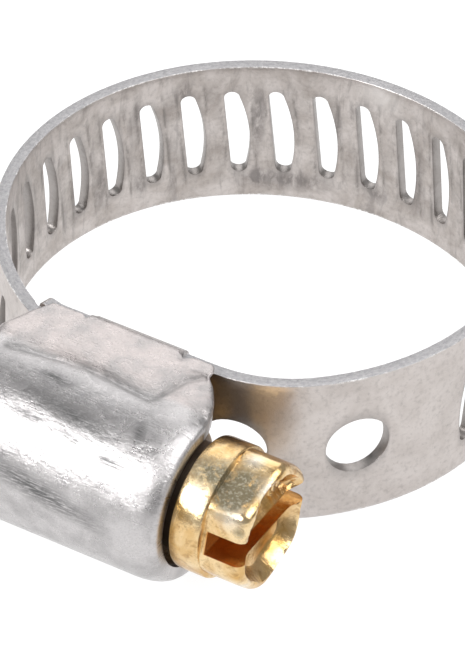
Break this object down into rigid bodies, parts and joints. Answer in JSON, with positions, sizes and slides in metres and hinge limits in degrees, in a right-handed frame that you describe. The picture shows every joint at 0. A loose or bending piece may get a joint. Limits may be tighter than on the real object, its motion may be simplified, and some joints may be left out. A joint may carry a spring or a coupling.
{
  "type": "hose clamp",
  "caption": "Worm-drive hose clamp: a slotted spring-steel band closed into a ring by a plated worm screw turning in a rolled sheet housing",
  "frame": {"origin": "on the hose's axis, at the middle of the band's width", "axes": "Z along the hose, the housing on the -Y side, the screw along X with its head at +X"},
  "size_m": [0.0248, 0.0315, 0.0087],
  "materials": {
    "band_steel": "satin stainless strip with fine burrs along its edges",
    "housing_steel": "satin stainless sheet with bright rubbed highlights and scuffs",
    "plated_screw": "yellow zinc passivated steel, worn grey on the hex flats"
  },
  "bodies": {
    "base": {"housing": "housing_steel", "band_captive": "band_steel"},
    "screw": {"screw": "plated_screw"},
    "tail": {"band_tail": "band_steel"},
    "link_1": {"band_link_1": "band_steel"},
    "link_2": {"band_link_2": "band_steel"},
    "link_3": {"band_link_3": "band_steel"},
    "link_4": {"band_link_4": "band_steel"},
    "link_5": {"band_link_5": "band_steel"},
    "link_6": {"band_link_6": "band_steel"},
    "link_7": {"band_link_7": "band_steel"},
    "entry_1": {"band_entry_1": "band_steel"},
    "entry_2": {"band_entry_2": "band_steel"},
    "entry_3": {"band_entry_3": "band_steel"}
  },
  "joints": [
    {"name": "screw_spin", "type": "hinge", "parent": "base", "child": "screw", "pos_m": [0, -0.01487, 0.00015], "axis": [-1, 0, 0], "range_deg": [0, 1080]},
    {"name": "tail_feed", "type": "slide", "parent": "base", "child": "tail", "axis": [1, 0, 0], "range_m": [0, 0.00665]},
    {"name": "link_1_bend", "type": "hinge", "parent": "base", "child": "link_1", "pos_m": [0.01163, -0.00323, 0], "axis": [0, 0, 1], "range_deg": [0, 5.59]},
    {"name": "link_2_bend", "type": "hinge", "parent": "link_1", "child": "link_2", "pos_m": [0.01161, 0.00329, 0], "axis": [0, 0, 1], "range_deg": [0, 4.63]},
    {"name": "link_3_bend", "type": "hinge", "parent": "link_2", "child": "link_3", "pos_m": [0.00821, 0.00885, 0], "axis": [0, 0, 1], "range_deg": [0, 3.35]},
    {"name": "link_4_bend", "type": "hinge", "parent": "link_3", "child": "link_4", "pos_m": [0.00241, 0.01183, 0], "axis": [0, 0, 1], "range_deg": [0, 2.23]},
    {"name": "link_5_bend", "type": "hinge", "parent": "link_4", "child": "link_5", "pos_m": [-0.00409, 0.01136, 0], "axis": [0, 0, 1], "range_deg": [0, 1.63]},
    {"name": "link_6_bend", "type": "hinge", "parent": "link_5", "child": "link_6", "pos_m": [-0.0094, 0.00757, 0], "axis": [0, 0, 1], "range_deg": [0, 1.75]},
    {"name": "link_7_bend", "type": "hinge", "parent": "link_6", "child": "link_7", "pos_m": [-0.01197, 0.00158, 0], "axis": [0, 0, 1], "range_deg": [0, 2.55]},
    {"name": "entry_1_bend", "type": "hinge", "parent": "link_7", "child": "entry_1", "pos_m": [-0.01003, -0.00682, 0], "axis": [0, 0, 1], "range_deg": [0, 31.37], "deforming": ["band_entry_1"]},
    {"name": "entry_2_bend", "type": "hinge", "parent": "entry_1", "child": "entry_2", "pos_m": [-0.00871, -0.00857, 0], "axis": [0, 0, 1], "range_deg": [-9.3, 0], "deforming": ["band_entry_2"]},
    {"name": "entry_3_bend", "type": "hinge", "parent": "entry_2", "child": "entry_3", "pos_m": [-0.00712, -0.01009, 0], "axis": [0, 0, 1], "range_deg": [-8.96, 0], "deforming": ["band_entry_3"]}
  ],
  "couplings": [
    {"joint": "tail_feed", "follows": "screw_spin", "m_per_rad": 0.00035014},
    {"joint": "link_1_bend", "follows": "screw_spin", "ratio": 0.0051689},
    {"joint": "link_2_bend", "follows": "screw_spin", "ratio": 0.0042796},
    {"joint": "link_3_bend", "follows": "screw_spin", "ratio": 0.0030947},
    {"joint": "link_4_bend", "follows": "screw_spin", "ratio": 0.0020523},
    {"joint": "link_5_bend", "follows": "screw_spin", "ratio": 0.0015019},
    {"joint": "link_6_bend", "follows": "screw_spin", "ratio": 0.0016146},
    {"joint": "link_7_bend", "follows": "screw_spin", "ratio": 0.002356},
    {"joint": "entry_1_bend", "follows": "screw_spin", "ratio": 0.029033},
    {"joint": "entry_2_bend", "follows": "screw_spin", "ratio": -0.0086009},
    {"joint": "entry_3_bend", "follows": "screw_spin", "ratio": -0.0082889}
  ]
}
